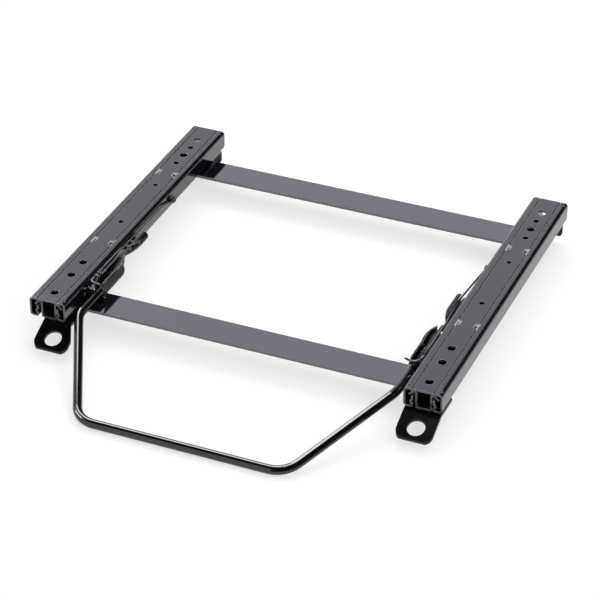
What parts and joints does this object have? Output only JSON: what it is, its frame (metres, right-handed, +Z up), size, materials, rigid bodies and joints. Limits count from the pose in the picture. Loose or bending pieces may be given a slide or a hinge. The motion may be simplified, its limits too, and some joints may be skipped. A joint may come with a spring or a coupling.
{
  "type": "seat slide rail",
  "caption": "Manual seat slide: two ball-bearing rails joined by flat cross bars, with a bent-rod release handle.",
  "frame": {"origin": "centre of the four seat bolt holes, on the rails' top face", "axes": "+X right, +Y rearward along the slide, +Z up towards the seat"},
  "size_m": [0.445, 0.5085, 0.0485],
  "materials": {
    "rail_paint": "semi-gloss",
    "bar_paint": "gloss",
    "foot_paint": "semi-gloss",
    "rod_paint": "gloss",
    "lever_paint": "semi-gloss",
    "bright_steel": "polished",
    "spring_steel": "satin"
  },
  "bodies": {
    "base": {"lower_rail_left": "rail_paint", "lower_rail_right": "rail_paint", "front_cross_bar": "bar_paint", "rear_cross_bar": "bar_paint", "front_foot_left": "foot_paint", "front_foot_right": "foot_paint", "rear_foot_left": "foot_paint", "rear_foot_right": "foot_paint"},
    "slider": {"upper_rail_left": "rail_paint", "upper_rail_right": "rail_paint", "pivot_pin_left": "bright_steel", "pivot_pin_right": "bright_steel", "spring_clip_left": "lever_paint", "spring_clip_right": "lever_paint", "stop_rivets_left": "bright_steel", "stop_rivets_right": "bright_steel", "spring_wire_left": "spring_steel", "spring_wire_right": "spring_steel"},
    "release": {"release_handle": "rod_paint", "release_lever_left": "lever_paint", "release_lever_right": "lever_paint"},
    "balls_left": {"shoulder_balls_left": "bright_steel", "flange_balls_left": "bright_steel"},
    "balls_right": {"shoulder_balls_right": "bright_steel", "flange_balls_right": "bright_steel"}
  },
  "joints": [
    {"name": "seat_slide", "type": "slide", "parent": "base", "child": "slider", "axis": [0, 1, 0], "range_m": [-0.125, 0.036]},
    {"name": "handle_lift", "type": "hinge", "parent": "slider", "child": "release", "pos_m": [0, -0.074, -0.0125], "axis": [-1, 0, 0], "range_deg": [0, 7], "stiffness_Nm_per_rad": 2, "springref_deg": -20.05, "deforming": ["spring_wire_left", "spring_wire_right"]},
    {"name": "balls_left_roll", "type": "slide", "parent": "base", "child": "balls_left", "axis": [0, 1, 0], "range_m": [-0.0625, 0.018]},
    {"name": "balls_right_roll", "type": "slide", "parent": "base", "child": "balls_right", "axis": [0, 1, 0], "range_m": [-0.0625, 0.018]}
  ],
  "couplings": [
    {"joint": "balls_left_roll", "follows": "seat_slide", "ratio": 0.5},
    {"joint": "balls_right_roll", "follows": "seat_slide", "ratio": 0.5}
  ]
}
